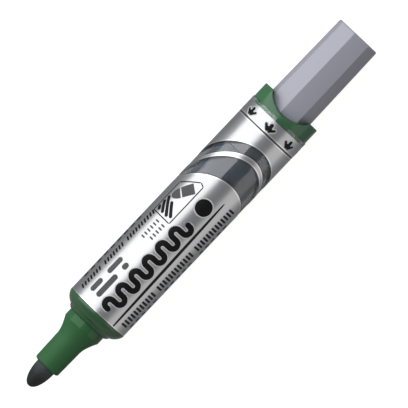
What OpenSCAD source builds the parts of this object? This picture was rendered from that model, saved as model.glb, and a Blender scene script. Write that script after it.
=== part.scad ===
// Push-button whiteboard marker, lying along X with its tip at -X and +Z up.
// Origin: centre of the resting line, under the middle of the length. All sizes in mm.

/* [Overall] */
// Length from the tip to the button's end
total_len = 120; // [110:1:130]
// Outside radius of the label, the shoulder and the rear rim
barrel_r = 8.9; // [8:0.1:10]
// Thickness of the wrapped label film
label_t = 0.1; // [0.05:0.01:0.2]
// Wall of the clear tube under the label
tube_wall = 1.1; // [0.8:0.1:1.5]

/* [Nib and nozzle] */
// Radius of the fibre nib
nib_r = 2.72; // [2:0.02:3.5]
// Length of the nib's rounded end
nib_dome = 6.2; // [4:0.1:7]
// Distance from the tip to the nozzle's front edge
nib_out = 6.4; // [5:0.05:8]
// Radius of the nozzle's straight part
nozzle_r = 3.84; // [3.5:0.01:4.5]
// Length of the hollow flare up to the base
flare_len = 4.6; // [2:0.05:6]
// Length of the nozzle's straight base
base_len = 2.1; // [1:0.05:2.1]
// Radius of the nozzle's flared base, which the cap's plug seals on
base_r = 5.52; // [5.3:0.01:5.9]

/* [Shoulder and barrel] */
// Distance from the tip to the shoulder's front face
shoulder_in = 22.5; // [20:0.1:26]
// Length of the shoulder's rounded corner
shoulder_round = 2.92; // [2:0.02:3]
// Distance from the tip to the label's rear edge
label_end = 90.4; // [85:0.1:95]
// Length of the clear rear rim
rim_len = 1; // [0.5:0.1:3]

/* [Ink feed] */
// Number of collector fins
fin_count = 14; // [8:1:20]
// Radius of the feed wick
wick_r = 1.6; // [1:0.05:2.2]
// Distance from the tip to the collector's rear flange
collector_end = 50; // [45:0.5:60]

/* [Pump] */
// Distance from the tip to the pump unit's front face
plug_in = 78.6; // [74:0.1:82]
// How far the button can be pressed
stroke = 6; // [3:0.5:7]
// Corner radius of the eight-sided button where it leaves the collar
button_r = 6.6; // [6:0.05:6.8]
// Corner radius of the button at its end
button_end_r = 6.3; // [5.5:0.05:7]
// Radius of the pump bore inside the button
pump_bore_r = 5; // [4:0.05:5.2]
// Wire thickness of the return spring
wire_d = 0.6; // [0.4:0.05:0.8]

/* [Tail collar] */
// Outside radius of the tail collar
tail_r = 8.72; // [8:0.02:8.8]
// Length of the collar behind the clear rim
tail_len = 4.3; // [3:0.1:6]
// Depth of the scoop in the collar's rear edge
scoop = 2.9; // [1:0.1:3.8]
// Half the width of the scoop
scoop_half = 6.6; // [6:0.1:7.5]

/* [Show] */
// Sub-part to build, or all

/* [Hidden] */
$fn = 96;
eps = 0.01;
tip_x = -total_len / 2;
tube_r = barrel_r - label_t;
bore_r = tube_r - tube_wall;
skirt_r = bore_r - 0.02;
nozzle_x = tip_x + nib_out;
shoulder_x = tip_x + shoulder_in;
tube_x = shoulder_x + 2.8;
ring_x = shoulder_x - 1.03;
rim_x = tip_x + label_end;
tail_x = rim_x + rim_len;
tail_end = tail_x + tail_len;
collector_x = tip_x + collector_end;
plug_x = tip_x + plug_in;
plug_end = plug_x + 1.9;
web_x = tail_x - 0.4;
flange_t = 1.5;
button_x = web_x - flange_t;
button_end = total_len / 2;
post_end = button_end - 2.4 - stroke - 1.3;
seal_x = post_end - 4.2;
turn = 34.5;
scoop_rise = 1;
green = [0.13, 0.36, 0.16];
grey = [0.55, 0.55, 0.6];
dark = [0.1, 0.1, 0.11];

// Lays a shape made along Z down on the marker's axis.
module lying() {
    translate([0, 0, barrel_r]) rotate([0, 90, 0]) children();
}

// A turned solid from [distance along the axis, radius] points.
module turned(points) {
    lying() rotate_extrude() polygon([for (p = points) [p[1], p[0]]]);
}

// A rod or disc on the axis, from x0 to x1.
module rod(x0, x1, r) {
    lying() translate([0, 0, x0]) cylinder(r = r, h = x1 - x0);
}

// A tube on the axis, from x0 to x1.
module tube(x0, x1, r_in, r_out) {
    turned([[x0, r_in], [x1, r_in], [x1, r_out], [x0, r_out]]);
}

// A rubber ring of round section centred at x.
module o_ring(x, r, d) {
    lying() translate([0, 0, x]) rotate_extrude() translate([r, 0]) circle(d = d);
}

// A coil of round wire as short straight links, from x0 to x1.
module coil(x0, x1, r, d, turns, steps) {
    n = turns * steps;
    lying() for (i = [0 : n - 1])
        hull() for (k = [i, i + 1])
            translate([r * cos(k * 360 / steps), r * sin(k * 360 / steps), x0 + d / 2 + (x1 - x0 - d) * k / n])
                rotate([90, 0, k * 360 / steps]) cylinder(d = d, h = eps, center = true, $fn = 8);
}

// An eight-sided prism or frustum turned as the button is.
module octagon(x0, x1, r0, r1) {
    lying() rotate([0, 0, turn]) translate([0, 0, x0]) cylinder(r1 = r0, r2 = r1, h = x1 - x0, $fn = 8);
}

module nib() {
    color(dark) turned(concat(
        [[tip_x, 0]],
        [for (a = [10 : 10 : 90]) [tip_x + nib_dome * (1 - cos(a)), nib_r * pow(sin(a), 0.95)]],
        [[tip_x + 21.4, nib_r], [tip_x + 22, nib_r - 0.5], [tip_x + 22, 0]]));
}

module nozzle() {
    flare = [for (u = [0 : 0.125 : 1]) [base_x() - flare_len * (1 - u), nozzle_r + (base_r - nozzle_r) * pow(u, 1.55)]];
    color(green) turned(concat(
        [[nozzle_x, nib_r + 0.02], [nozzle_x, nib_r + 0.25], [nozzle_x + 0.12, nozzle_r - 0.48], [nozzle_x + 0.35, nozzle_r - 0.2],
         [nozzle_x + 0.7, nozzle_r - 0.14]],
        flare,
        [[base_x() + base_len, base_r], [base_x() + base_len, 4.98], [shoulder_x + 5.6, 4.98],
         [shoulder_x + 5.6, 4.4], [shoulder_x - 0.6, 4.4], [shoulder_x - 3.6, nib_r + 0.02]]));
}
function base_x() = shoulder_x - 3.15;

module seal_ring() {
    color(green) turned([[ring_x, 5], [ring_x + 0.17, 5], [ring_x + 0.17, 5.9], [ring_x + 0.1, 5.95], [ring_x, 5.85]]);
}

module shoulder() {
    corner = [for (a = [0 : 9 : 90]) [tube_x - shoulder_round * (1 - a / 90), barrel_r - 2.28 * (1 - pow(sin(a), 0.75))]];
    groove_x = tube_x + 2.6;
    color(green) turned(concat(
        [[shoulder_x - 0.82, 5], [shoulder_x - 0.82, 6.08], [shoulder_x - 0.58, 6.38], [shoulder_x - 0.28, 6.5]],
        corner,
        [[tube_x, skirt_r], [groove_x, skirt_r], [groove_x, skirt_r - 0.95], [groove_x + 1.3, skirt_r - 0.95],
         [groove_x + 1.3, skirt_r], [tube_x + 4.6, skirt_r], [tube_x + 5, skirt_r - 0.4], [tube_x + 5, 5]]));
}

module shoulder_o_ring() {
    color(dark) o_ring(tube_x + 3.25, bore_r - 0.51, 1);
}

module barrel() {
    color([0.8, 0.85, 0.85, 0.35]) turned([
        [tube_x + 0.02, bore_r], [tail_x, bore_r], [tail_x, barrel_r - 0.1], [tail_x - 0.1, barrel_r], [rim_x, barrel_r],
        [rim_x, tube_r], [tube_x + 0.02, tube_r]]);
}

module label() {
    color([0.7, 0.7, 0.72]) tube(tube_x + 0.02, rim_x - 0.02, tube_r, barrel_r);
}

module ink() {
    color([0.05, 0.14, 0.09]) difference() {
        rod(collector_x + 0.01, plug_x - 0.01, bore_r - 0.01);
        rod(collector_x - 1, collector_x + 3.01, wick_r + 0.01);
        rod(plug_x - 4.01, plug_x, 3.21);
    }
}

module feed_wick() {
    color([0.2, 0.3, 0.22]) rod(tip_x + 22.01, collector_x + 3, wick_r);
}

module collector() {
    front = shoulder_x + 5.7;
    pitch = (collector_x - 2.8 - front - 3) / (fin_count - 1);
    color([0.85, 0.85, 0.82]) difference() {
        union() {
            rod(shoulder_x + 0.6, front, 4.3);
            rod(front - eps, collector_x, 3.4);
            rod(front, front + 1, 4.9);
            for (i = [1 : fin_count - 1]) rod(front + 1.9 + i * pitch, front + 2.6 + i * pitch, bore_r - 0.15);
            rod(collector_x - 2.6, collector_x, skirt_r);
        }
        rod(shoulder_x - 1, collector_x + 1, wick_r + 0.02);
        translate([front + 1.5, -0.4, barrel_r + 4.2]) cube([collector_x - front - 4.4, 0.8, 6]);
        turned([[collector_x - 1.95, skirt_r - 0.95], [collector_x - 0.65, skirt_r - 0.95], [collector_x - 0.65, barrel_r],
                [collector_x - 1.95, barrel_r]]);
    }
}

module collector_o_ring() {
    color(dark) o_ring(collector_x - 1.3, bore_r - 0.51, 1);
}

module tank_plug() {
    lip = tail_x - 4.8;
    groove = lip - 1.3;
    color([0.3, 0.3, 0.32]) difference() {
        union() {
            turned([[plug_x, 0], [plug_x, skirt_r - 0.2], [plug_x + 0.2, skirt_r], [groove, skirt_r], [groove, skirt_r - 0.45],
                    [groove + 0.7, skirt_r - 0.45], [groove + 0.7, skirt_r], [lip, skirt_r], [lip, 6.95], [plug_end, 6.95], [plug_end, 0]]);
            rod(plug_end - eps, plug_end + 4, 3.4);
        }
        rod(plug_x + 1.2, plug_end + 5, 2.22);
        rod(plug_x - 1, plug_x + 2, 0.8);
        turned([[plug_x - 1, 0], [plug_x - 1, 2.45], [plug_x + 0.01, 1.45], [plug_x + 0.66, 0.8], [plug_x + 0.66, 0]]);
    }
}

module tank_plug_o_ring() {
    color(dark) o_ring(tail_x - 5.75, bore_r - 0.25, 0.5);
}

module valve_cage() {
    color([0.75, 0.75, 0.76]) difference() {
        rod(plug_x - 4, plug_x, 3.2);
        rod(plug_x - 3.2, plug_x + 1, 2.5);
        rod(plug_x - 5, plug_x, 0.7);
        for (a = [0 : 90 : 270]) lying() rotate([0, 0, a]) translate([1.8, 0, plug_x - 5]) cylinder(r = 0.45, h = 3);
    }
}

module valve_ball() {
    color([0.8, 0.8, 0.8]) translate([plug_x - 0.34, 0, barrel_r]) sphere(r = 1.25);
}

module valve_spring() {
    color([0.7, 0.7, 0.72]) coil(plug_x - 3.18, plug_x - 1.3, 1.15, 0.25, 3, 12);
}

module pump_post() {
    color([0.75, 0.75, 0.76]) turned([
        [plug_x + 1.22, 0.8], [post_end, 0.8], [post_end, 1.5], [seal_x + 2.6, 1.5], [seal_x + 2.6, 1.9], [seal_x, 1.9], [seal_x, 2.7],
        [seal_x - 0.8, 2.7], [seal_x - 1.2, 2.2], [plug_x + 1.22, 2.2]]);
}

module cup_seal() {
    color(dark) turned([
        [seal_x, 1.92], [seal_x + 2.5, 1.92], [seal_x + 2.5, 3], [seal_x + 1.2, 3.6], [seal_x + 1.2, 4.2], [seal_x + 2.6, 4.65],
        [seal_x + 2.6, pump_bore_r - 0.02], [seal_x + 2.1, pump_bore_r - 0.02], [seal_x + 0.8, 4.8], [seal_x, 4.6]]);
}

module seal_retainer() {
    color([0.75, 0.75, 0.76]) turned([
        [seal_x + 2.61, 1.51], [post_end, 1.51], [post_end, 2], [post_end - 0.4, 2.4], [seal_x + 2.61, 2.4]]);
}

module return_spring() {
    color([0.7, 0.7, 0.72]) coil(plug_end + 0.02, button_x - 0.02, 5.95, wire_d, 4, 18);
}

function scoop_outline() = concat(
    [[3, -scoop_half]],
    [for (a = [-90 : 7.5 : 90]) [-(scoop + scoop_rise) * cos(a), scoop_half * sin(a)]],
    [[3, scoop_half]]);

module tail_collar() {
    color(green) difference() {
        union() {
            turned([[tail_x - 4.4, 6.95], [tail_x + 0.6, 6.95], [tail_x + 0.6, skirt_r + 0.4], [tail_x + 0.01, skirt_r + 0.4],
                    [tail_x + 0.01, skirt_r], [tail_x - 4, skirt_r], [tail_x - 4.4, skirt_r - 0.4]]);
            turned([[tail_x + 0.01, 5], [tail_end, 5], [tail_end, tail_r - 0.2], [tail_end - 0.2, tail_r], [tail_x + 0.01, tail_r]]);
            tube(web_x, tail_x + 1, 5, 7.2);
        }
        octagon(web_x - 1, tail_end, button_r + 0.1, button_r + 0.1);
        // the scoop: a wide flat-bottomed hollow across the rear edge
        translate([tail_end + scoop_rise, 0, -1]) linear_extrude(height = 20) polygon(scoop_outline());
    }
}

module push_button() {
    color(grey) difference() {
        union() {
            intersection() {
                octagon(button_x, button_end, button_r + 0.02, button_end_r);
                turned([[button_x - 1, 0], [button_x - 1, 8], [button_end - 0.9, 8], [button_end - 0.9, button_end_r + 0.02],
                        [button_end - 0.45, button_end_r - 0.08], [button_end - 0.12, button_end_r - 0.45],
                        [button_end - 0.04, button_end_r - 1.2], [button_end, 0]]);
            }
            rod(button_x, button_x + flange_t - 0.02, 6.88);
        }
        turned([[button_x - 1, 0], [button_x - 1, pump_bore_r + 0.3], [button_x, pump_bore_r + 0.3], [button_x + 0.3, pump_bore_r],
                [button_end - 2.4, pump_bore_r], [button_end - 2, pump_bore_r - 0.4], [button_end - 2, 0]]);
    }
}

nib();
nozzle();
seal_ring();
shoulder();
shoulder_o_ring();
barrel();
label();
ink();
feed_wick();
collector();
collector_o_ring();
tank_plug();
tank_plug_o_ring();
valve_cage();
valve_ball();
valve_spring();
pump_post();
cup_seal();
seal_retainer();
return_spring();
tail_collar();
push_button();
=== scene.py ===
"""Looks of a push-button whiteboard marker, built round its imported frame.

The marker lies along X with its tip at -X. Sizes in the classes are in millimetres and are turned
into metres where a mesh is made.
"""

from __future__ import annotations

import logging
import math
from contextlib import contextmanager
from dataclasses import dataclass
from enum import Enum
from functools import cache, cached_property
from typing import Callable, Iterator, Sequence

import bmesh
import bpy
from mathutils import Matrix, Vector


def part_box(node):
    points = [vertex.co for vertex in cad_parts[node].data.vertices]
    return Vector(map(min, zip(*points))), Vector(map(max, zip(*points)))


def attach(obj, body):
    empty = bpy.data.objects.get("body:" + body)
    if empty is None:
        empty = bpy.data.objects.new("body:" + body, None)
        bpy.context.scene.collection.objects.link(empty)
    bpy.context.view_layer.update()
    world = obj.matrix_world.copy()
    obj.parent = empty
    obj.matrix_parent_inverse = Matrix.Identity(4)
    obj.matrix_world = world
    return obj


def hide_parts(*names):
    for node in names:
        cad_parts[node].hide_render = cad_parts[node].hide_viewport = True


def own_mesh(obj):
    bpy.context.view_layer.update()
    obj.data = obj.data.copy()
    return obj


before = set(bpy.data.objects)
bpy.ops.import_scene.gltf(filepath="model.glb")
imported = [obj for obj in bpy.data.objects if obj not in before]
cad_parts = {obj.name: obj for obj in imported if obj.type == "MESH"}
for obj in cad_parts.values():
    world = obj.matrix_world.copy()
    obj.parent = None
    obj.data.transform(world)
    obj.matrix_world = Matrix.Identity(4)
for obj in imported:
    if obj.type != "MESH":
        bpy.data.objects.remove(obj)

LOG = logging.getLogger("marker")
MM = 0.001
TO_MM = 1000.0
QUARTER = math.pi / 2
AXIS_Z = 8.9  # the height of the marker's axis
BARREL_R = 8.9  # the outside of the print and of the rear rim
FILM_R = 8.862  # the outside of the label's film
SKIN_DEPTH = 0.00001  # the relief of a moulded skin, in metres
DOUBLES = 1e-7  # vertices closer than this are one, in metres
IN_PLANE = 1e-6  # a vertex this close to a plane or ring is on it, in metres

Tree = bpy.types.NodeTree
Node = bpy.types.Node
Socket = bpy.types.NodeSocket
Material = bpy.types.Material
Piece = bpy.types.Object
Colour = tuple[float, float, float]
Station = tuple[float, float]
Line = tuple[float, float, float, float, float]


class Body(Enum):
    """The bodies that the new pieces ride on."""

    MARKER = "marker"
    BUTTON = "button"


# ---- node trees ----


class Wiring:
    """A node tree in the making."""

    def __init__(self, tree: Tree) -> None:
        """Takes the tree that nodes are added to."""
        self.tree = tree

    def feed(self, node: Node, inputs: dict[str | int, object]) -> Node:
        """Fills a node's inputs.

        Args:
            node: the node.
            inputs: a socket, a number, a vector or a colour for each input, by its name or place.

        Returns:
            The node.
        """
        for key, value in inputs.items():
            socket = node.inputs[key]
            if isinstance(value, bpy.types.NodeSocket):
                self.tree.links.new(value, socket)
            else:
                socket.default_value = (*value, 1.0) if socket.type == "RGBA" else value
        return node

    def add(self, kind: str, inputs: dict[str | int, object] | None = None) -> Node:
        """Adds a node of the kind whose type is named "ShaderNode" and that, and fills its inputs."""
        return self.feed(self.tree.nodes.new("ShaderNode" + kind), inputs or {})

    def math(self, operation: str, *values: object, clamp: bool = False) -> Socket:
        """Adds a Math node.

        Args:
            operation: the operation's name.
            *values: a number or a socket for each input.
            clamp: whether the result is held between 0 and 1.

        Returns:
            The result's socket.
        """
        node = self.add("Math")
        node.operation = operation
        node.use_clamp = clamp
        return self.feed(node, dict(enumerate(values))).outputs[0]

    def mix(self, mask: object, low: object, high: object) -> Socket:
        """Adds a colour mix.

        Args:
            mask: the factor, a number or a socket.
            low: the colour where the factor is 0.
            high: the colour where the factor is 1.

        Returns:
            The mixed colour's socket.
        """
        node = self.add("Mix")
        node.data_type = "RGBA"
        first, second = (place for place, socket in enumerate(node.inputs) if socket.type == "RGBA")
        self.feed(node, {"Factor": mask, first: low, second: high})
        return next(socket for socket in node.outputs if socket.type == "RGBA")

    def parts(self, vector: Socket) -> Sequence[Socket]:
        """Splits a vector into its three numbers."""
        return self.add("SeparateXYZ", {0: vector}).outputs

    def noise(self, vector: Socket, scale: object, detail: float) -> Socket:
        """Adds a noise texture and gives its value's socket."""
        return self.add("TexNoise", {"Vector": vector, "Scale": scale, "Detail": detail}).outputs[0]

    def ramp(self, value: Socket, low: float, high: float) -> Socket:
        """Adds a ramp that goes from 0 where the value is low to 1 where it is high."""
        return self.add("MapRange", {"Value": value, "From Min": low, "From Max": high}).outputs[0]

    def place(self, group: Tree, inputs: dict[str | int, object]) -> Sequence[Socket]:
        """Places a node group in the tree.

        Args:
            group: the group.
            inputs: what its inputs are filled with.

        Returns:
            The group's outputs.
        """
        node = self.add("Group")
        node.node_tree = group
        return self.feed(node, inputs).outputs


class NodeGroup(Wiring):
    """A node group in the making: a Vector and some numbers go in, and numbers come out."""

    def __init__(self, name: str, inputs: dict[str, float], outputs: Sequence[str]) -> None:
        """Starts the group.

        Args:
            name: the group's name.
            inputs: the default of each number that goes in, by name.
            outputs: the names of the numbers that come out.
        """
        super().__init__(bpy.data.node_groups.new(name, "ShaderNodeTree"))
        sockets = self.tree.interface
        sockets.new_socket("Vector", in_out="INPUT", socket_type="NodeSocketVector")
        for label, value in inputs.items():
            sockets.new_socket(label, in_out="INPUT", socket_type="NodeSocketFloat").default_value = value
        for label in outputs:
            sockets.new_socket(label, in_out="OUTPUT", socket_type="NodeSocketFloat")
        self.given = self.tree.nodes.new("NodeGroupInput").outputs
        self.result = self.tree.nodes.new("NodeGroupOutput")


@cache
def moulded_grain() -> Tree:
    """Builds the fine unevenness of a moulded plastic skin.

    Returns:
        A group with a height for bump, a tint mask and a roughness.
    """
    group = NodeGroup("moulded_grain", {"Scale": 900.0, "Roughness": 0.35, "Spread": 0.06},
                      ("Height", "Mask", "Roughness"))
    where, scale, roughness, spread = (group.given[k] for k in ("Vector", "Scale", "Roughness", "Spread"))
    fine = group.noise(where, scale, 3.0)
    broad = group.noise(where, group.math("MULTIPLY", scale, 0.12), 2.0)
    shift = group.math("SUBTRACT", broad, 0.5)
    rough = group.math("MULTIPLY_ADD", shift, spread, roughness, clamp=True)
    group.feed(group.result, {"Height": fine, "Mask": broad, "Roughness": rough})
    return group.tree


@cache
def sloping_edge() -> Tree:
    """Builds the distance to a sloping cut round the barrel.

    Returns:
        A group that gives the distance along the barrel, in millimetres, past a plane that
        crosses the barrel at Middle and leans by Sweep, turned by Turn round the barrel.
    """
    group = NodeGroup("sloping_edge", {"Middle": 0.0, "Sweep": 0.0, "Turn": 0.0}, ("Distance",))
    where, middle, sweep, turn = (group.given[k] for k in ("Vector", "Middle", "Sweep", "Turn"))
    x, y, z = group.parts(where)
    side = group.math("MULTIPLY", y, -TO_MM / BARREL_R)
    up = group.math("MULTIPLY_ADD", z, TO_MM / BARREL_R, -AXIS_Z / BARREL_R)
    across = group.math("MULTIPLY", side, group.math("SINE", turn))
    lean = group.math("MULTIPLY_ADD", up, group.math("COSINE", turn), across)
    offset = group.math("MULTIPLY", group.math("SUBTRACT", 1.0, lean), sweep)
    edge = group.math("SUBTRACT", middle, offset)
    past = group.math("SUBTRACT", group.math("MULTIPLY", x, TO_MM), edge)
    group.feed(group.result, {"Distance": past})
    return group.tree


# ---- finishes ----


class Finish(Wiring):
    """A material in the making, with its Principled shader."""

    def __init__(self, name: str) -> None:
        """Starts the material.

        Args:
            name: its name.
        """
        self.material = bpy.data.materials.new(name)
        self.material.use_nodes = True
        super().__init__(self.material.node_tree)
        self.shader = self.tree.nodes["Principled BSDF"]

    @cached_property
    def where(self) -> Socket:
        """Gives a point's place in the marker, in metres."""
        return self.add("TexCoord").outputs["Object"]

    def bump(self, height: Socket, strength: float, depth: float) -> None:
        """Gives the shader's normal a relief of a strength from 0 to 1 and a depth in metres."""
        relief = self.add("Bump", {"Height": height, "Strength": strength, "Distance": depth})
        self.feed(self.shader, {"Normal": relief.outputs["Normal"]})

    def skin(self, scale: float, roughness: float, spread: float, strength: float,
             depth: float = SKIN_DEPTH) -> tuple[Socket, Socket]:
        """Lays the moulded grain over the material.

        Args:
            scale: the grain's scale.
            roughness: the middle of its roughness.
            spread: how much the roughness varies.
            strength: how strongly its relief shows, 0 to 1.
            depth: the relief's depth in metres.

        Returns:
            The mask for the tint, and the roughness.
        """
        height, mask, rough = self.place(moulded_grain(), {
            "Vector": self.where, "Scale": scale, "Roughness": roughness, "Spread": spread})
        self.bump(height, strength, depth)
        return mask, rough

    def streaks(self, stretch: Colour, scale: float, detail: float) -> Socket:
        """Adds noise that is stretched along the axes and gives its value's socket."""
        stretched = self.add("Mapping", {"Vector": self.where, "Scale": stretch}).outputs[0]
        return self.noise(stretched, scale, detail)

    def done(self, inputs: dict[str | int, object]) -> Material:
        """Fills the shader's inputs and gives the finished material."""
        self.feed(self.shader, inputs)
        return self.material


def dimmed(colour: Colour, share: float) -> Colour:
    """Gives a share of a colour's brightness."""
    return tuple(share * part for part in colour)


@dataclass(frozen=True)
class MouldedPlastic:
    """A coloured moulded plastic, with a fine skin and slight tint changes."""

    name: str
    colour: Colour
    shade: Colour
    roughness: float = 0.3
    spread: float = 0.08
    grain: float = 900.0
    depth: float = SKIN_DEPTH
    strength: float = 0.25
    specular: float = 0.5
    polished_from: float | None = None
    polish: float = 0.1

    def material(self) -> Material:
        """Makes the plastic, polished behind a place along the marker if it has one.

        Returns:
            The material.
        """
        finish = Finish(self.name)
        mask, rough = finish.skin(self.grain, self.roughness, self.spread, self.strength, self.depth)
        if self.polished_from is not None:
            behind = finish.math("GREATER_THAN", finish.parts(finish.where)[0], self.polished_from * MM)
            rough = finish.math("MULTIPLY_ADD", behind, self.polish - self.roughness, rough, clamp=True)
        return finish.done({"Base Color": finish.mix(mask, self.shade, self.colour), "Roughness": rough,
                            "Specular IOR Level": self.specular})


@dataclass(frozen=True)
class PrintedInk(MouldedPlastic):
    """Ink printed on the label, slightly uneven where it thins."""

    roughness: float = 0.4
    spread: float = 0.1
    grain: float = 2400.0
    depth: float = 0.000004
    strength: float = 0.2
    specular: float = 0.12


@dataclass(frozen=True)
class ClearPlastic:
    """The tank's clear plastic, which lets the light through to what is inside."""

    name: str = "clear_plastic"
    tint: Colour = (0.93, 0.95, 0.97)
    roughness: float = 0.06

    def material(self) -> Material:
        """Makes the clear plastic, which casts only a faint shadow.

        Returns:
            The material.
        """
        finish = Finish(self.name)
        mask, rough = finish.skin(160.0, self.roughness, 0.03, 0.02)
        clear = finish.add("BsdfTransparent", {"Color": self.tint})
        ray = finish.add("LightPath")
        either = finish.add("MixShader", {0: ray.outputs["Is Shadow Ray"], 1: finish.shader.outputs[0],
                                          2: clear.outputs[0]})
        finish.feed(finish.tree.nodes["Material Output"], {"Surface": either.outputs[0]})
        return finish.done({"Base Color": finish.mix(mask, dimmed(self.tint, 0.97), self.tint),
                            "Roughness": rough, "Transmission Weight": 1.0, "IOR": 1.49,
                            "Specular IOR Level": 0.22})


@dataclass(frozen=True)
class LabelCut:
    """One sloping edge of the label, given by where it crosses the barrel."""

    middle: float
    sweep: float
    turn_deg: float

    def plane(self) -> tuple[Vector, Vector]:
        """Gives the cutting plane.

        Returns:
            A point on the plane and its normal towards the button, in metres.
        """
        turn = math.radians(self.turn_deg)
        lean = self.sweep / BARREL_R
        normal = Vector((1.0, lean * math.sin(turn), -lean * math.cos(turn)))
        point = Vector((self.middle - self.sweep, 0.0, AXIS_Z)) * MM
        return point, normal.normalized()


FRONT_CUT = LabelCut(11.3, 7.33, 18.0)
STRIPE_START = LabelCut(18.08, 10.0, 18.5)
STRIPE_END = LabelCut(19.84, 10.25, 17.5)
REAR_CUT = LabelCut(22.25, 8.05, 16.0)


@dataclass(frozen=True)
class SilverFoil:
    """The label's metallised film: a dark line printed beside each window and one ring, and painted
    highlights.
    """

    name: str = "silver_foil"
    silver: Colour = (0.455, 0.458, 0.472)
    # Colour of the painted highlights along the film's edges.
    rim_highlight: Colour = (0.68, 0.68, 0.69)
    line: Colour = (0.03, 0.035, 0.035)
    roughness: float = 0.31
    line_mm: float = 0.2
    rim_mm: float = 0.5
    ring_at: float = 26.4
    ring_mm: float = 0.24
    halo_mm: float = 0.52
    front_rim: float = -34.45
    metal: float = 0.92

    def material(self) -> Material:
        """Makes the foil.

        Returns:
            The material.
        """
        finish = Finish(self.name)
        mask, rough = finish.skin(1400.0, self.roughness, 0.06, 0.08)
        along = finish.math("MULTIPLY", finish.parts(finish.where)[0], TO_MM)
        lines = finish.math("COMPARE", along, self.ring_at, self.ring_mm)
        # Lighter silver bands beside the dark lines and along the front edge: painted highlights on the
        # film's edges.
        painted_rims = finish.math("MAXIMUM", finish.math("COMPARE", along, self.ring_at, self.halo_mm),
                           finish.math("LESS_THAN", along, self.front_rim))
        for cut in (FRONT_CUT, STRIPE_START, STRIPE_END, REAR_CUT):
            past = finish.place(sloping_edge(), {"Vector": finish.where, "Middle": cut.middle,
                                                 "Sweep": cut.sweep, "Turn": math.radians(cut.turn_deg)})
            gap = finish.math("ABSOLUTE", past[0])
            lines = finish.math("MAXIMUM", lines, finish.math("LESS_THAN", gap, self.line_mm))
            painted_rims = finish.math("MAXIMUM", painted_rims, finish.math("LESS_THAN", gap, self.rim_mm))
        tone = finish.mix(mask, dimmed(self.silver, 0.93), self.silver)
        tone = finish.mix(lines, finish.mix(painted_rims, tone, self.rim_highlight), self.line)
        return finish.done({"Base Color": tone, "Roughness": rough, "Coat Weight": 0.25,
                            "Coat Roughness": 0.12,
                            "Metallic": finish.math("MULTIPLY_ADD", lines, -self.metal, self.metal)})


@dataclass(frozen=True)
class FibreNib:
    """Pressed fibre soaked with ink, paler where it leaves the nozzle; on the nib this paler root is a
    painted highlight.
    """

    name: str = "nib_fibre"
    soaked: Colour = (0.011, 0.015, 0.013)
    pale: Colour = (0.044, 0.054, 0.055)
    fade_from: float = -57.0
    fade_to: float = -53.6

    def material(self) -> Material:
        """Makes the fibre.

        Returns:
            The material.
        """
        finish = Finish(self.name)
        strands = finish.streaks((0.16, 1.0, 1.0), 5200.0, 4.0)
        # Paler towards the nozzle: on the nib this is a painted highlight near its root.
        fade = finish.ramp(finish.parts(finish.where)[0], self.fade_from * MM, self.fade_to * MM)
        uneven = finish.math("MULTIPLY_ADD", strands, 0.5, -0.25)
        mask = finish.math("ADD", fade, uneven, clamp=True)
        finish.bump(strands, 0.6, 0.0001)
        return finish.done({"Base Color": finish.mix(mask, self.soaked, self.pale), "Roughness": 0.62,
                            "Specular IOR Level": 0.25, "Sheen Weight": 0.04})


@dataclass(frozen=True)
class LiquidInk:
    """The tank's ink, nearly black with a cool cast and films of colour on the wall."""

    name: str = "liquid_ink"
    deep: Colour = (0.038, 0.048, 0.056)
    film: Colour = (0.053, 0.062, 0.072)

    def material(self) -> Material:
        """Makes the ink.

        Returns:
            The material.
        """
        finish = Finish(self.name)
        streaks = finish.streaks((1.0, 0.5, 1.6), 320.0, 5.0)
        films = finish.ramp(streaks, 0.48, 0.72)
        finish.bump(streaks, 0.1, 0.00004)
        return finish.done({"Base Color": finish.mix(films, self.deep, self.film),
                            "Roughness": finish.math("MULTIPLY_ADD", films, 0.2, 0.12),
                            "Specular IOR Level": 0.2})


@dataclass(frozen=True)
class DrawnWire:
    """Bright spring wire or a polished ball, with fine drawing lines."""

    name: str
    colour: Colour = (0.55, 0.55, 0.56)
    roughness: float = 0.22

    def material(self) -> Material:
        """Makes the wire.

        Returns:
            The material.
        """
        finish = Finish(self.name)
        mask, rough = finish.skin(3000.0, self.roughness, 0.15, 0.2, 0.000005)
        return finish.done({"Base Color": finish.mix(mask, dimmed(self.colour, 0.8), self.colour),
                            "Roughness": rough, "Metallic": 1.0})


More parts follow.
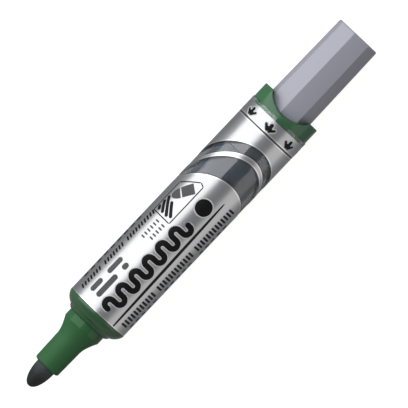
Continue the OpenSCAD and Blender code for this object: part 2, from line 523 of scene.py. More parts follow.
class Palette:
    """Every finish of the marker, each made once."""

    def __init__(self) -> None:
        """Makes the materials."""
        self.green = MouldedPlastic("shoulder_green", (0.031, 0.099, 0.040), (0.027, 0.090, 0.035),
                                    roughness=0.19, strength=0.12, specular=0.46).material()
        self.nose_green = MouldedPlastic("nozzle_green", (0.031, 0.121, 0.043), (0.027, 0.110, 0.038),
                                         roughness=0.56, specular=0.2, polished_from=-40.9).material()
        self.collar_green = MouldedPlastic("collar_green", (0.034, 0.134, 0.057), (0.030, 0.122, 0.050),
                                           roughness=0.2, strength=0.12, specular=0.42).material()
        self.grey = MouldedPlastic("button_grey", (0.345, 0.352, 0.41), (0.33, 0.336, 0.392),
                                   roughness=0.34).material()
        self.clear = ClearPlastic().material()
        self.foil = SilverFoil().material()
        self.black_print = PrintedInk("black_print", (0.005, 0.005, 0.0055),
                                      (0.008, 0.008, 0.008)).material()
        self.white_print = PrintedInk("white_print", (0.62, 0.62, 0.63), (0.56, 0.56, 0.57)).material()
        self.grey_print = PrintedInk("grey_print", (0.075, 0.075, 0.078),
                                     (0.095, 0.095, 0.098)).material()
        self.nib = FibreNib().material()
        self.wick = FibreNib("wick_fibre", soaked=(0.05, 0.09, 0.06), pale=(0.10, 0.16, 0.12),
                             fade_from=-38.0, fade_to=-8.0).material()
        self.ink = LiquidInk().material()
        self.feed = MouldedPlastic("feed_plastic", (0.72, 0.72, 0.68), (0.66, 0.67, 0.62),
                                   roughness=0.5).material()
        self.pump = MouldedPlastic("pump_plastic", (0.036, 0.040, 0.043), (0.030, 0.034, 0.037),
                                   roughness=0.24, specular=0.6).material()
        self.rubber = MouldedPlastic("seal_rubber", (0.02, 0.02, 0.021), (0.028, 0.028, 0.029),
                                     roughness=0.55, specular=0.4).material()
        self.wire = DrawnWire("spring_wire").material()
        self.ball = DrawnWire("polished_steel", (0.62, 0.62, 0.63), 0.1).material()


# ---- modelling ----


class Bench:
    """Modelling steps that the pieces share, each done with Blender's own operators."""

    @staticmethod
    def make_active(piece: Piece) -> None:
        """Selects one piece alone and makes it active.

        Args:
            piece: the piece.
        """
        bpy.ops.object.select_all(action="DESELECT")
        piece.select_set(True)
        bpy.context.view_layer.objects.active = piece

    @staticmethod
    def primitive(add: Callable[..., set[str]], name: str, **settings: object) -> Piece:
        """Adds a primitive, selected alone, with its place in its mesh.

        Args:
            add: the operator that adds it.
            name: the new piece's name.
            **settings: the operator's settings.

        Returns:
            The new piece.
        """
        bpy.ops.object.select_all(action="DESELECT")
        add(**settings)
        piece = bpy.context.object
        piece.name = piece.data.name = name
        bpy.ops.object.transform_apply(location=True, rotation=True, scale=True)
        return piece

    @staticmethod
    @contextmanager
    def editing(piece: Piece) -> Iterator[None]:
        """Opens a piece for editing, all selected, and closes it with its faces turned outwards.

        Args:
            piece: the piece.

        Yields:
            Nothing, once the piece is open.
        """
        Bench.make_active(piece)
        bpy.ops.object.mode_set(mode="EDIT")
        bpy.ops.mesh.select_mode(type="VERT")
        bpy.ops.mesh.select_all(action="SELECT")
        yield
        bpy.ops.mesh.select_all(action="SELECT")
        bpy.ops.mesh.normals_make_consistent(inside=False)
        bpy.ops.object.mode_set(mode="OBJECT")

    @staticmethod
    def pick(piece: Piece, kind: str, test: Callable[[object], bool]) -> None:
        """Selects vertices, edges or faces in edit mode.

        Args:
            piece: the piece being edited.
            kind: "VERT", "EDGE" or "FACE".
            test: says whether an element is selected.
        """
        bpy.ops.mesh.select_mode(type=kind)
        bpy.ops.mesh.select_all(action="DESELECT")
        form = bmesh.from_edit_mesh(piece.data)
        for element in {"VERT": form.verts, "EDGE": form.edges, "FACE": form.faces}[kind]:
            if test(element):
                element.select_set(True)
        bmesh.update_edit_mesh(piece.data)

    @staticmethod
    def radius(vert: bmesh.types.BMVert) -> float:
        """Gives a vertex's distance from the marker's axis, in metres."""
        return math.hypot(vert.co.y, vert.co.z - AXIS_Z * MM)

    @staticmethod
    def draw_out(reach: float, end: float, scale: float) -> None:
        """Extrudes the selection by a reach in millimetres and scales it about the axis at its end."""
        bpy.ops.mesh.extrude_region_move(TRANSFORM_OT_translate={"value": (reach * MM, 0.0, 0.0)})
        bpy.ops.transform.resize(value=(1.0, scale, scale), center_override=(end * MM, 0.0, AXIS_Z * MM))

    @staticmethod
    def close_pole(reach: float) -> None:
        """Closes the selected ring to a point that far along the axis, in millimetres."""
        bpy.ops.mesh.extrude_edges_move(TRANSFORM_OT_translate={"value": (reach * MM, 0.0, 0.0)})
        bpy.ops.mesh.merge(type="CENTER")

    @staticmethod
    def turned(name: str, stations: Sequence[Station], steps: int = 96, ring: bool = False,
               start_pole: float | None = None, end_pole: float | None = None) -> Piece:
        """Turns a profile round the marker's axis, ring by ring.

        Args:
            name: the piece's name.
            stations: (distance along the axis, radius) of each ring, in millimetres.
            steps: vertices in a ring.
            ring: whether the last ring joins the first, as on a hollow piece.
            start_pole: where the start closes to a point, or None.
            end_pole: where the end closes to a point, or None.

        Returns:
            The new piece.
        """
        x, r = start_x, start_r = stations[0]
        piece = Bench.primitive(bpy.ops.mesh.primitive_circle_add, name, vertices=steps, radius=r * MM,
                                location=(x * MM, 0.0, AXIS_Z * MM), rotation=(0.0, QUARTER, 0.0))
        with Bench.editing(piece):
            for next_x, next_r in [*stations[1:], *(stations[:1] if ring else ())]:
                Bench.draw_out(next_x - x, next_x, next_r / r)
                x, r = next_x, next_r
            if end_pole is not None:
                Bench.close_pole(end_pole - x)
            if start_pole is not None:
                Bench.pick(piece, "EDGE", lambda edge: all(
                    abs(v.co.x - start_x * MM) < IN_PLANE and abs(Bench.radius(v) - start_r * MM) < IN_PLANE
                    for v in edge.verts))
                Bench.close_pole(start_pole - start_x)
            bpy.ops.mesh.select_all(action="SELECT")
            bpy.ops.mesh.remove_doubles(threshold=DOUBLES)
        return piece

    @staticmethod
    def modify(piece: Piece, kind: str, **settings: object) -> None:
        """Adds a modifier to a piece and applies it.

        Args:
            piece: the piece.
            kind: the modifier's type.
            **settings: the modifier's settings, by name.
        """
        Bench.make_active(piece)
        modifier = piece.modifiers.new(kind.lower(), kind)
        for name, value in settings.items():
            setattr(modifier, name, value)
        bpy.ops.object.modifier_apply(modifier=modifier.name)

    @staticmethod
    def soften(piece: Piece, width: float, angle: float = 28.0) -> None:
        """Rounds a piece's edges by a width in millimetres where they are sharper than an angle."""
        Bench.modify(piece, "BEVEL", width=width * MM, segments=2, limit_method="ANGLE",
                     angle_limit=math.radians(angle), use_clamp_overlap=True)

    @staticmethod
    def cut(piece: Piece, cutter: Piece) -> None:
        """Cuts one closed shape out of a piece and removes the cutter."""
        Bench.modify(piece, "BOOLEAN", operation="DIFFERENCE", object=cutter, solver="EXACT")
        bpy.data.objects.remove(cutter)

    @staticmethod
    def fit(piece: Piece, material: Material, node: str, smooth: float = 32.0,
            body: Body = Body.MARKER) -> None:
        """Shades and dresses a finished piece, ties it to its body and hides its CAD node.

        Args:
            piece: the finished piece.
            material: its finish.
            node: the CAD node that it stands for, which is hidden.
            smooth: the sharpest edge that is shaded smooth, in degrees.
            body: the body that it rides on.
        """
        Bench.make_active(piece)
        bpy.ops.object.shade_smooth_by_angle(angle=math.radians(smooth))
        piece.data.materials.clear()
        piece.data.materials.append(material)
        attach(piece, body.value)
        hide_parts(node)
        LOG.info("%s: %d faces, rides on %s", piece.name, len(piece.data.polygons), body.value)


# ---- the pieces ----


@dataclass
class WritingEnd:
    """The nib, nozzle, seal ring and shoulder."""

    palette: Palette
    tip: float = -60.0
    nib_r: float = 2.72
    nib_dome: float = 6.2
    nib_back: float = -38.0
    nozzle_front: float = -53.6
    nozzle_r: float = 3.84
    nozzle_bore: float = 2.74
    flare_len: float = 4.6
    base_front: float = -40.65
    base_back: float = -38.55
    base_r: float = 5.52
    shank_r: float = 4.98
    shank_back: float = -36.3
    ring_front: float = -38.53
    shoulder_front: float = -37.5
    shoulder_back: float = -34.7
    shoulder_round: float = 2.92
    shoulder_drop: float = 2.28
    shoulder_bore: float = 5.0
    tank_bore: float = 7.7

    def nib(self) -> None:
        """Makes the bullet nib, with its fibres' slightly worn dome."""
        angles = [math.radians(a) for a in (8, 16, 25, 34, 43, 52, 61, 70, 80, 90)]
        dome = [(self.tip + self.nib_dome * (1 - math.cos(a)), self.nib_r * math.sin(a) ** 0.95)
                for a in angles]
        back = [(self.nib_back - 0.6, self.nib_r), (self.nib_back, self.nib_r - 0.5)]
        piece = Bench.turned("nib_tip", dome + back, 64, start_pole=self.tip, end_pole=self.nib_back)
        Bench.fit(piece, self.palette.nib, "nib", 50.0)

    def nozzle(self) -> None:
        """Makes the nozzle: a straight nose, a hollow flare and a short base."""
        bore, x, r = self.nozzle_bore, self.nozzle_front, self.nozzle_r
        lip = [(x, bore), (x, bore + 0.23), (x + 0.12, r - 0.48), (x + 0.35, r - 0.2), (x + 0.7, r - 0.14)]
        flare = [(self.base_front - self.flare_len * (1 - k / 10), r + (self.base_r - r) * (k / 10) ** 1.55)
                 for k in range(11)]
        shank = [(self.base_back, self.base_r), (self.base_back, self.shank_r),
                 (self.shank_back, self.shank_r), (self.shank_back, bore)]
        piece = Bench.turned("nozzle_nose", lip + flare + shank, ring=True)
        Bench.soften(piece, 0.05, 24.0)
        Bench.fit(piece, self.palette.nose_green, "nozzle")

    def seal_ring(self) -> None:
        """Makes the thin ring that the cap seals on."""
        x, bore = self.ring_front, self.shoulder_bore
        section = [(x, bore), (x, 5.85), (x + 0.1, 5.95), (x + 0.17, 5.9), (x + 0.17, bore)]
        piece = Bench.turned("cap_seal_ring", section, ring=True)
        Bench.soften(piece, 0.03)
        Bench.fit(piece, self.palette.green, "seal_ring")

    def shoulder(self) -> None:
        """Makes the shoulder, a flange and a rounded corner down to the label."""
        x, back = self.shoulder_front, self.shoulder_back
        flange = [(x - 0.82, self.shoulder_bore), (x - 0.82, 6.08), (x - 0.58, 6.38), (x - 0.28, 6.5)]
        corner = [(back - self.shoulder_round * (1 - a / 90),
                   BARREL_R - self.shoulder_drop * (1 - math.sin(math.radians(a)) ** 0.75))
                  for a in range(0, 91, 6)]
        inside = [(back, self.tank_bore), (back, self.shoulder_bore)]
        piece = Bench.turned("front_shoulder", flange + corner + inside, ring=True)
        Bench.soften(piece, 0.05, 30.0)
        Bench.fit(piece, self.palette.green, "shoulder")

    def build(self) -> None:
        """Makes every piece of the writing end."""
        self.nib()
        self.nozzle()
        self.seal_ring()
        self.shoulder()


@dataclass
class Tank:
    """The clear tube with its rear rim, and the ink in it."""

    palette: Palette
    front: float = -34.68
    label_end: float = 30.4
    back: float = 31.4
    bore: float = 7.7
    outside: float = 8.8
    rim_round: float = 0.12
    ink_front: float = -9.99
    ink_back: float = 18.58
    ink_r: float = 7.68
    meniscus: float = 0.25

    def tube(self) -> None:
        """Makes the clear tube with its thicker rear rim."""
        piece = Bench.turned("clear_tube", [
            (self.front, self.bore), (self.front, self.outside), (self.label_end, self.outside),
            (self.label_end, BARREL_R), (self.back - self.rim_round, BARREL_R),
            (self.back, BARREL_R - self.rim_round), (self.back, self.bore)], 128, ring=True)
        Bench.fit(piece, self.palette.clear, "barrel")

    def ink(self) -> None:
        """Makes the ink, rounded where it wets the plug."""
        front, back, r = self.ink_front, self.ink_back, self.ink_r
        piece = Bench.turned("tank_ink", [
            (front, 0.9), (front, r - self.meniscus), (front + self.meniscus, r), (back - 0.15, r),
            (back, r - 0.15), (back, 0.9)], 128, start_pole=front, end_pole=back)
        Bench.fit(piece, self.palette.ink, "ink")

    def build(self) -> None:
        """Makes the tube and the ink."""
        self.tube()
        self.ink()


@dataclass
class Label:
    """The wrapped label: three silver panels with clear windows between them."""

    palette: Palette
    front: float = -34.66
    back: float = 30.36
    film: float = 0.05

    def panel(self, name: str, after: LabelCut | None, before: LabelCut | None) -> None:
        """Makes one panel of foil between two sloping cuts.

        Args:
            name: the panel's name.
            after: the cut that the panel starts at, or None for the label's front.
            before: the cut that the panel ends at, or None for the label's back.
        """
        piece = Bench.primitive(
            bpy.ops.mesh.primitive_cylinder_add, name, vertices=192, radius=FILM_R * MM,
            depth=(self.back - self.front) * MM, end_fill_type="NOTHING", rotation=(0.0, QUARTER, 0.0),
            location=((self.front + self.back) / 2 * MM, 0.0, AXIS_Z * MM))
        with Bench.editing(piece):
            for cut, drop_front in ((after, True), (before, False)):
                if cut is None:
                    continue
                point, normal = cut.plane()
                bpy.ops.mesh.select_all(action="SELECT")
                bpy.ops.mesh.bisect(plane_co=point, plane_no=normal, clear_inner=drop_front,
                                    clear_outer=not drop_front)
        Bench.modify(piece, "SOLIDIFY", thickness=self.film * MM, offset=-1.0)
        Bench.fit(piece, self.palette.foil, "label", 40.0)

    def build(self) -> None:
        """Makes the three panels."""
        self.panel("label_front_panel", None, FRONT_CUT)
        self.panel("label_window_stripe", STRIPE_START, STRIPE_END)
        self.panel("label_rear_panel", REAR_CUT, None)


@dataclass
class Artwork:
    """Generic print on the label: arrows, a drawn wave, bars and a nib picture."""

    palette: Palette
    height: float = 0.012
    thickness: float = 0.012
    overprint: float = 0.014
    slope_step: float = 0.002
    least_width: float = 0.001
    cell_width: float = 0.6

    def wrap(self, piece: Piece, lift: float) -> None:
        """Rolls flat artwork onto the barrel.

        Args:
            piece: artwork in the XY plane, x along the barrel and y round it from the top.
            lift: how far its underside stands off the label, in millimetres.
        """
        for vert in piece.data.vertices:
            angle = vert.co.y / (BARREL_R * MM)
            out = (FILM_R + lift) * MM + vert.co.z
            vert.co = Vector((vert.co.x, -out * math.sin(angle), AXIS_Z * MM + out * math.cos(angle)))
        piece.data.update()

    def finish(self, piece: Piece, material: Material, lift: float = 0.0) -> None:
        """Thickens flat artwork, rolls it on and ties it to the marker.

        Args:
            piece: artwork in the XY plane.
            material: its ink.
            lift: extra height over the label in millimetres, for print on print.
        """
        with Bench.editing(piece):
            bpy.ops.mesh.remove_doubles(threshold=DOUBLES)
        if sum(face.normal.z * face.area for face in piece.data.polygons) < 0:
            piece.data.flip_normals()
        Bench.modify(piece, "SOLIDIFY", thickness=self.thickness * MM, offset=1.0)
        self.wrap(piece, self.height + lift)
        if self.inside_out(piece):
            piece.data.flip_normals()
        Bench.fit(piece, material, "label", 40.0)

    @staticmethod
    def inside_out(piece: Piece) -> bool:
        """Tells from the sign of its volume whether a closed piece's faces point inwards.

        Args:
            piece: the piece.

        Returns:
            Whether they do.
        """
        form = bmesh.new()
        form.from_mesh(piece.data)
        volume = form.calc_volume(signed=True)
        form.free()
        return volume < 0

    def ribbon(self, name: str, path: Callable[[float], Station], width: Callable[[float], float],
               steps: int, across: int = 2) -> Piece:
        """Makes a flat stroke along a path.

        Args:
            name: the stroke's name.
            path: gives (along, round) in millimetres for 0 to 1.
            width: gives the stroke's width in millimetres for 0 to 1.
            steps: pieces along the stroke.
            across: pieces across it.

        Returns:
            The stroke in the XY plane.
        """
        piece = Bench.primitive(bpy.ops.mesh.primitive_grid_add, name, x_subdivisions=steps,
                                y_subdivisions=across, size=1.0)
        for vert in piece.data.vertices:
            t = min(max(vert.co.x + 0.5, 0.0), 1.0)
            x, y = path(t)
            x1, y1 = path(min(t + self.slope_step, 1.0))
            x0, y0 = path(max(t - self.slope_step, 0.0))
            long = math.hypot(x1 - x0, y1 - y0) or 1.0
            out = vert.co.y * width(t) / long
            vert.co = Vector(((x - (y1 - y0) * out) * MM, (y + (x1 - x0) * out) * MM, 0.0))
        return piece

    @staticmethod
    def join(pieces: Sequence[Piece], name: str) -> Piece:
        """Joins flat pieces into one.

        Args:
            pieces: the pieces to join.
            name: the joined piece's name.

        Returns:
            The joined piece.
        """
        Bench.make_active(pieces[0])
        for piece in pieces:
            piece.select_set(True)
        bpy.ops.object.join()
        pieces[0].name = pieces[0].data.name = name
        return pieces[0]

    def capped(self, length: float, wide: float) -> Callable[[float], float]:
        """Gives the width along a stroke that ends in half circles.

        Args:
            length: the stroke's length in millimetres.
            wide: its width in millimetres.

        Returns:
            The width for 0 to 1 along the stroke.
        """
        def width(t: float) -> float:
            """Gives the width at one place.

            Args:
                t: the place, 0 to 1.

            Returns:
                The width in millimetres.
            """
            inset = min(t, 1.0 - t) * length
            if inset >= wide / 2:
                return wide
            return wide * math.sqrt(max(0.0, 1.0 - (1.0 - inset / (wide / 2)) ** 2)) + self.least_width
        return width

    def strokes(self, name: str, lines: Sequence[Line], material: Material, lift: float = 0.0,
                spread: float = 0.0) -> None:
        """Makes straight round-ended strokes as one piece.

        Args:
            name: the piece's name.
            lines: (x, round, x, round, width) of each stroke, in millimetres.
            material: the ink.
            lift: extra height over the label in millimetres.
            spread: how much wider than the lines the strokes are, for a halo.
        """
        made = []
        for number, (x0, y0, x1, y1, wide) in enumerate(lines):
            dx, dy = x1 - x0, y1 - y0
            long = math.hypot(dx, dy)
            over = spread / 2 / long
            made.append(self.ribbon(
                f"{name}_{number}",
                lambda t, x=x0 - dx * over, y=y0 - dy * over, run=1 + 2 * over, dx=dx, dy=dy: (
                    x + dx * run * t, y + dy * run * t),
                self.capped(long + spread, wide + spread), max(10, int(long * 4)),
                max(2, math.ceil((wide + spread) / self.cell_width))))
        self.finish(self.join(made, name), material, lift)

    def arrows(self) -> None:
        """Makes the eight press arrows near the button, each with a white halo."""
        lines: list[Line] = []
        whole = 2 * math.pi * BARREL_R
        for turn in range(8):
            y = (math.radians(45.0 * turn - 1.9) * BARREL_R + whole / 2) % whole - whole / 2
            lines.append((27.3, y, 29.55, y, 0.95))
            for side in (-1.0, 1.0):
                lines.append((27.1, y + 0.12 * side, 28.7, y + 1.68 * side, 0.66))
                lines.append((27.3, y, 28.35, y + 0.7 * side, 0.7))
        self.strokes("arrow_halos", lines, self.palette.white_print, spread=0.4)
        self.strokes("press_arrows", lines, self.palette.black_print, self.overprint)

    def wave(self) -> None:
        """Makes the drawn wave with its halo, the dot after it and the tapering line under it."""
        white, black = self.palette.white_print, self.palette.black_print
        over = self.overprint
        start, middle, legs, run, bend, wide = -32.1, 1.42, 12, 1.3, 1.2, 1.5
        leg = run + math.pi * bend
        total = legs * leg + run

        def path(t: float) -> Station:
            """Follows the wave, straight legs joined by half circles.

            Args:
                t: how far along it, 0 to 1.

            Returns:
                The place (along, round) in millimetres.
            """
            number, rest = divmod(t * total, leg)
            sign = 1.0 if number % 2 else -1.0
            x = start + 2 * bend * number
            if rest < run:
                return x, middle + sign * (rest - run / 2)
            angle = (rest - run) / bend
            return x + bend * (1 - math.cos(angle)), middle + sign * (run / 2 + bend * math.sin(angle))
        for name, extra, ink, lift in (("wave_halo", 0.5, white, 0.0), ("drawn_wave", 0.0, black, over)):
            self.finish(self.ribbon(name, path, self.capped(total, wide + extra), 264, 4), ink, lift)
        for name, radius, ink, lift in (("dot_halo", 2.55, white, 0.0), ("drawn_dot", 2.25, black, over)):
            dot = self.ribbon(name, lambda t, r=radius: (2.5 + r * (2 * t - 1), middle),
                              self.capped(2 * radius, 2 * radius), 36, 8)
            self.finish(dot, ink, lift)
        under = self.ribbon(
            "tapering_line", lambda t: (-34.4 + 41.2 * t, 5.62 - 0.9 * t),
            lambda t: 0.1 + 0.75 * math.sin(math.pi * min(1.0, 0.04 + t * 0.96)) ** 0.35, 90, 3)
        self.finish(under, black)

    @staticmethod
    def row(first: Line, pitch: float, count: int, gaps: Sequence[int] = ()) -> list[Line]:
        """Gives a row of marks along the barrel, a pitch apart, with some places left empty."""
        x0, y0, x1, y1, wide = first
        return [(x0 + pitch * k, y0, x1 + pitch * k, y1, wide) for k in range(count) if k not in gaps]

    def rows(self) -> None:
        """Makes the rows of plain marks that fill the label as its small print would."""
        black, grey = self.palette.black_print, self.palette.grey_print
        self.strokes("slanted_marks", self.row((-32.6, -7.5, -32.1, -9.2, 0.54), 1.02, 26, (7, 15)), black)
        self.strokes("upright_marks", self.row((-32.4, 7.0, -32.4, 9.7, 0.6), 1.05, 38, (11, 24)), black)
        self.strokes("edge_marks", self.row((-32.0, 11.5, -30.6, 11.5, 0.9), 2.1, 17, (5, 11)), black)
        self.strokes("far_marks", self.row((-30.6, -11.6, -28.9, -11.6, 1.0), 2.4, 9), black)
        heading = [(-31.7, -5.2, -27.6, -5.2, 1.5), (-25.6, -5.2, -20.4, -5.2, 1.5),
                   (-31.7, -2.9, -24.4, -2.9, 1.5), (-22.4, -2.9, -20.4, -2.9, 1.5)]
        self.strokes("heading_bars", heading, grey)
        fine = self.row((-13.0, -5.7, -13.0, -4.4, 0.45), 1.05, 6)
        fine += self.row((-11.9, -3.6, -11.9, -2.4, 0.45), 1.05, 5)
        self.strokes("fine_marks", fine, grey)

    def nib_picture(self) -> None:
        """Makes the small picture of a bullet nib and the lines that it draws, in a thin frame."""
        black = self.palette.black_print
        left, right, low, high, thin, bold, wide = -6.3, 6.6, -8.8, -2.2, 0.3, 0.9, 2.9
        edges = [(left, low, right - 3.6, low), (left, high, right - 0.5, high), (left, low, left, high),
                 (right - 3.6, low, right, high - 1.2), (right, high - 1.2, right - 0.5, high)]
        self.strokes("picture_frame", [(*edge, thin) for edge in edges], black)
        drawn = [(0.7, -7.2, 1.9, -8.3), (0.7, -5.6, 3.7, -8.3), (0.7, -4.0, 5.2, -8.1),
                 (1.2, -2.9, 4.6, -6.0)]
        drawn = [(left + x0, y0, left + x1, y1, bold) for x0, y0, x1, y1 in drawn]
        self.strokes("picture_lines", drawn, black)
        tip = self.ribbon("picture_nib", lambda t: (-0.9 + 2.1 * t, -7.3 + 1.42 * t),
                          lambda t: 0.02 + wide * math.sqrt(max(0.0, 1.0 - (1.0 - t) ** 2)), 20, 6)
        body = self.ribbon("picture_body", lambda t: (1.5 + 2.9 * t, -5.68 + 1.96 * t),
                           lambda t: wide, 8, 6)
        self.finish(self.join([tip, body], "picture_marker"), self.palette.grey_print)

    def build(self) -> None:
        """Makes all the print."""
        self.arrows()
        self.wave()
        self.rows()
        self.nib_picture()


@dataclass
class PumpEnd:
    """The scooped tail collar and the eight-sided push button."""

    palette: Palette
    collar_front: float = 27.0
    rim_back: float = 31.41
    collar_back: float = 35.7
    collar_r: float = 8.72
    plug_r: float = 7.66
    guide_r: float = 6.95
    scoop_half: float = 6.6
    scoop_depth: float = 5.1
    scoop_floor: float = 2.4
    button_front: float = 29.5
    button_back: float = 60.0
    button_r: float = 6.6
    button_end_r: float = 6.3
    button_bore: float = 5.0
    flange_r: float = 6.86
    end_inset: float = 0.5
    end_round: float = 0.4
    corner_round: float = 0.16
    turn_deg: float = 34.5

    def collar(self) -> None:
        """Makes the collar, its eight-sided guide hole and the scoop across it."""
        piece = Bench.turned("scooped_collar", [
            (self.collar_front, self.guide_r), (self.collar_front, 7.3), (27.4, self.plug_r),
            (self.rim_back, self.plug_r), (self.rim_back, self.collar_r),
            (self.collar_back - 0.15, self.collar_r), (self.collar_back, self.collar_r - 0.15),
            (self.collar_back, 5.2), (31.0, 5.2), (31.0, self.guide_r)], 128, ring=True)
        hole_r = self.button_r + 0.1
        Bench.cut(piece, self.prism("guide_hole", 30.0, 36.0, hole_r, hole_r))
        Bench.cut(piece, self.scoop_cutter())
        Bench.soften(piece, 0.07, 35.0)
        Bench.fit(piece, self.palette.collar_green, "tail_collar", 30.0)

    def scoop_cutter(self) -> Piece:
        """Makes the cutter for the scoop, an elliptical bar that is deepest along its top and bottom.

        Returns:
            The cutter.
        """
        centre = (self.collar_back + 1.0) * MM
        cutter = Bench.primitive(bpy.ops.mesh.primitive_cylinder_add, "scoop_bar", vertices=96, radius=MM,
                                 depth=24.0 * MM, location=(0.0, 0.0, AXIS_Z * MM))
        for vert in cutter.data.vertices:
            vert.co.x = centre + self.scoop_depth * vert.co.x
            vert.co.y *= self.scoop_half
        with Bench.editing(cutter):
            bpy.ops.mesh.bisect(plane_co=(0, 0, AXIS_Z * MM), plane_no=(0, 0, 1))
            Bench.pick(cutter, "VERT", lambda v: abs(v.co.z - AXIS_Z * MM) < 0.01 * MM)
            bpy.ops.transform.resize(value=(self.scoop_floor / self.scoop_depth, 1.0, 1.0),
                                     center_override=(centre, 0.0, AXIS_Z * MM))
        return cutter

    def prism(self, name: str, x0: float, x1: float, r0: float, r1: float) -> Piece:
        """Makes an eight-sided solid turned as the button is.

        Args:
            name: its name.
            x0: where it starts along the axis, in millimetres.
            x1: where it ends.
            r0: corner radius at the start.
            r1: corner radius at the end.

        Returns:
            The solid.
        """
        piece = Bench.primitive(bpy.ops.mesh.primitive_circle_add, name, vertices=8, radius=r0 * MM,
                                fill_type="NGON")
        turn = Matrix.Rotation(math.radians(self.turn_deg), 4, "Z")
        lay = Matrix.Translation((x0 * MM, 0.0, AXIS_Z * MM)) @ Matrix.Rotation(QUARTER, 4, "Y")
        piece.data.transform(lay @ turn)
        with Bench.editing(piece):
            Bench.draw_out(x1 - x0, x1, r1 / r0)
        return piece

    def button(self) -> None:
        """Makes the hollow push button with its rounded end, and its flange."""
        piece = self.prism("pump_button", self.button_front + 1.3, self.button_back, self.button_r,
                           self.button_end_r)
        long_edge = 20.0
        with Bench.editing(piece):
            Bench.pick(piece, "FACE", lambda face: face.normal.x > 0.9)
            bpy.ops.mesh.inset(thickness=self.end_inset * MM)
            Bench.pick(piece, "EDGE", lambda edge: all(
                abs(v.co.x - self.button_back * MM) < IN_PLANE
                and Bench.radius(v) > (self.button_end_r - 0.1) * MM for v in edge.verts))
            bpy.ops.mesh.bevel(offset=self.end_round * MM, segments=4, affect="EDGES")
            Bench.pick(piece, "EDGE", lambda edge: abs(
                edge.verts[0].co.x - edge.verts[1].co.x) > long_edge * MM)
            bpy.ops.mesh.bevel(offset=self.corner_round * MM, segments=3, affect="EDGES")
        bore, front, back = self.button_bore, 28.0, 58.0
        hollow = Bench.turned("pump_bore", [(front, bore), (back - 0.4, bore), (back, bore - 0.4)], 64,
                              start_pole=front, end_pole=back)
        Bench.cut(piece, hollow)
        x, end, r = self.button_front, self.button_front + 1.48, self.flange_r
        section = [(x, bore), (x, r - 0.16), (x + 0.15, r), (x + 1.35, r), (end, r - 0.12), (end, bore)]
        flange = Bench.turned("button_flange", section, ring=True)
        for part, smooth in ((flange, 32.0), (piece, 24.0)):
            Bench.fit(part, self.palette.grey, "push_button", smooth, Body.BUTTON)

    def build(self) -> None:
        """Makes the collar and the button."""
        self.collar()
        self.button()


@dataclass
class Springs:
    """The two coil springs."""

    palette: Palette

    def coil(self, node: str, wire: float, turns: int) -> None:
        """Makes a coil spring in the place of its solid.

        Args:
            node: the solid that it stands for.
            wire: thickness of its wire in millimetres.
            turns: how many turns it has.
        """
        low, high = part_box(node)
        length, thick = high[0] - low[0], wire * MM
        start = (low[0] + thick / 2, 0.0, (high[1] - low[1] - thick) / 2)
        piece = Bench.primitive(bpy.ops.mesh.primitive_circle_add, f"{node}_coil", vertices=12,
                                radius=thick / 2, rotation=(QUARTER, 0.0, 0.0), location=start)
        Bench.modify(piece, "SCREW", axis="X", angle=2 * math.pi, iterations=turns, steps=32,
                     render_steps=32, screw_offset=(length - thick) / turns)
        with Bench.editing(piece):
            bpy.ops.mesh.fill_holes(sides=0)
            bpy.ops.mesh.select_all(action="SELECT")
            bpy.ops.transform.translate(value=(0.0, 0.0, AXIS_Z * MM))
        Bench.fit(piece, self.palette.wire, node, 50.0)
        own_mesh(piece)

    def build(self) -> None:
        """Makes both springs."""
        self.coil("return_spring", 0.6, 4)
        self.coil("valve_spring", 0.25, 3)


@dataclass
class InnerParts:
    """The pieces kept from the frame, which only need their finish."""

    palette: Palette

    def build(self) -> None:
        """Gives each kept piece its material."""
        looks = {
            self.palette.rubber: ("shoulder_o_ring", "collector_o_ring", "tank_plug_o_ring", "cup_seal"),
            self.palette.pump: ("tank_plug", "valve_cage", "pump_post", "seal_retainer"),
            self.palette.wick: ("feed_wick",),
            self.palette.feed: ("collector",),
            self.palette.ball: ("valve_ball",),
        }
        for material, names in looks.items():
            for name in names:
                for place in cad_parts[name].material_slots:
                    place.material = material
                LOG.info("%s: kept from the frame", name)


# ---- the studio ----


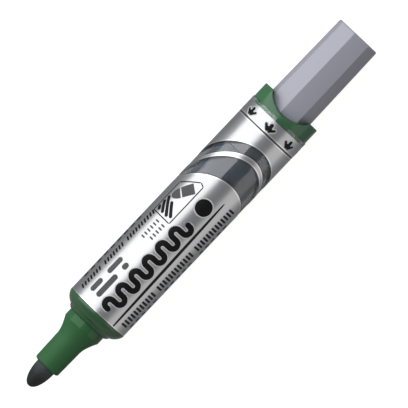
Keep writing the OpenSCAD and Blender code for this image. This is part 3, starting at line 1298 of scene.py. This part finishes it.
@dataclass
class Studio:
    """The pale floor, the soft lights and the camera."""

    aim: tuple[float, float, float] = (3.05, -0.76, 8.9)
    roll_deg: float = 46.61
    tilt_deg: float = 1.4
    distance: float = 2.0
    field_mm: float = 101.8
    sensor: float = 36.0
    reach: float = 0.6

    def floor(self) -> None:
        """Makes the floor, which the camera sees but gloss doesn't."""
        floor = Bench.primitive(bpy.ops.mesh.primitive_plane_add, "floor", size=3.0)
        finish = Finish("pale_floor")
        ray = finish.add("LightPath")
        floor.data.materials.append(finish.done({
            "Base Color": (0.25, 0.25, 0.25), "Roughness": 0.9, "Emission Color": (1.0, 1.0, 0.985),
            "Emission Strength": finish.math("MULTIPLY", ray.outputs["Is Camera Ray"], 0.95)}))
        floor.visible_glossy = False

    def light(self, name: str, zenith_deg: float, side: float, size: tuple[float, float], radiance: float,
              colour: Colour) -> None:
        """Makes a soft box that faces the marker.

        Args:
            name: the light's name.
            zenith_deg: its angle from straight up.
            side: 1 for the +Y side, -1 for the -Y side.
            size: its length along the marker and its width, in metres.
            radiance: its brightness.
            colour: its colour.
        """
        lamp = bpy.data.lights.new(name, "AREA")
        lamp.shape = "RECTANGLE"
        lamp.size, lamp.size_y = size
        lamp.energy = radiance * math.pi * lamp.size * lamp.size_y
        lamp.color = colour
        holder = bpy.data.objects.new(name, lamp)
        angle = math.radians(zenith_deg)
        height = AXIS_Z * MM + self.reach * math.cos(angle)
        holder.location = (0.0, side * self.reach * math.sin(angle), height)
        holder.rotation_euler = (-side * angle, 0.0, 0.0)
        holder.visible_camera = False
        bpy.context.scene.collection.objects.link(holder)

    def world(self) -> None:
        """Makes the surroundings: white to the eye, dull in reflections and dim as light."""
        world = bpy.data.worlds.new("studio")
        bpy.context.scene.world = world
        world.use_nodes = True
        wire = Wiring(world.node_tree)
        ray = wire.add("LightPath").outputs
        y, z = wire.parts(wire.add("TexCoord").outputs["Generated"])[1:]
        below = wire.math("LESS_THAN", z, 0.0)
        edge = wire.math("MULTIPLY", wire.ramp(z, -0.62, -0.05), below)
        mirrored = wire.mix(edge, (0.255, 0.26, 0.27), (0.56, 0.56, 0.55))
        sideways = wire.math("MAXIMUM", y, 0.0)
        ambient = wire.mix(sideways, (0.04, 0.04, 0.042), (0.36, 0.36, 0.37))
        seen = wire.mix(ray["Is Glossy Ray"], ambient, mirrored)
        seen = wire.mix(ray["Is Camera Ray"], seen, (0.97, 0.97, 0.965))
        wire.feed(world.node_tree.nodes["Background"], {"Color": seen})

    def camera(self) -> None:
        """Makes the camera, high over the marker with a long lens."""
        lens = bpy.data.cameras.new("camera")
        lens.sensor_width = self.sensor
        lens.lens = self.sensor * self.distance / (self.field_mm * MM)
        lens.clip_end = 50.0
        camera = bpy.data.objects.new("camera", lens)
        tilt = math.radians(self.tilt_deg)
        back = Vector((math.sin(tilt), 0.0, math.cos(tilt)))
        turn = Matrix.Rotation(tilt, 4, "Y") @ Matrix.Rotation(math.radians(-self.roll_deg), 4, "Z")
        camera.matrix_world = Matrix.Translation(Vector(self.aim) * MM + back * self.distance) @ turn
        bpy.context.scene.collection.objects.link(camera)
        bpy.context.scene.camera = camera

    def build(self) -> None:
        """Sets up the floor, lights, surroundings and camera."""
        self.floor()
        self.light("main_softbox", 47.0, 1.0, (0.95, 0.97), 2.25, (1.0, 1.0, 1.0))
        self.light("warm_fill", 68.0, -1.0, (0.9, 0.52), 0.80, (1.0, 0.965, 0.93))
        self.world()
        self.camera()
        bpy.context.scene.view_settings.view_transform = "Standard"


def main() -> None:
    """Builds the marker and the studio, in order."""
    logging.basicConfig(level=logging.INFO, format="%(name)s %(message)s")
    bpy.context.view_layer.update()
    palette = Palette()
    for part in (Springs, InnerParts, WritingEnd, Tank, Label, Artwork, PumpEnd):
        part(palette).build()
    Studio().build()


if __name__ == "__main__":
    main()
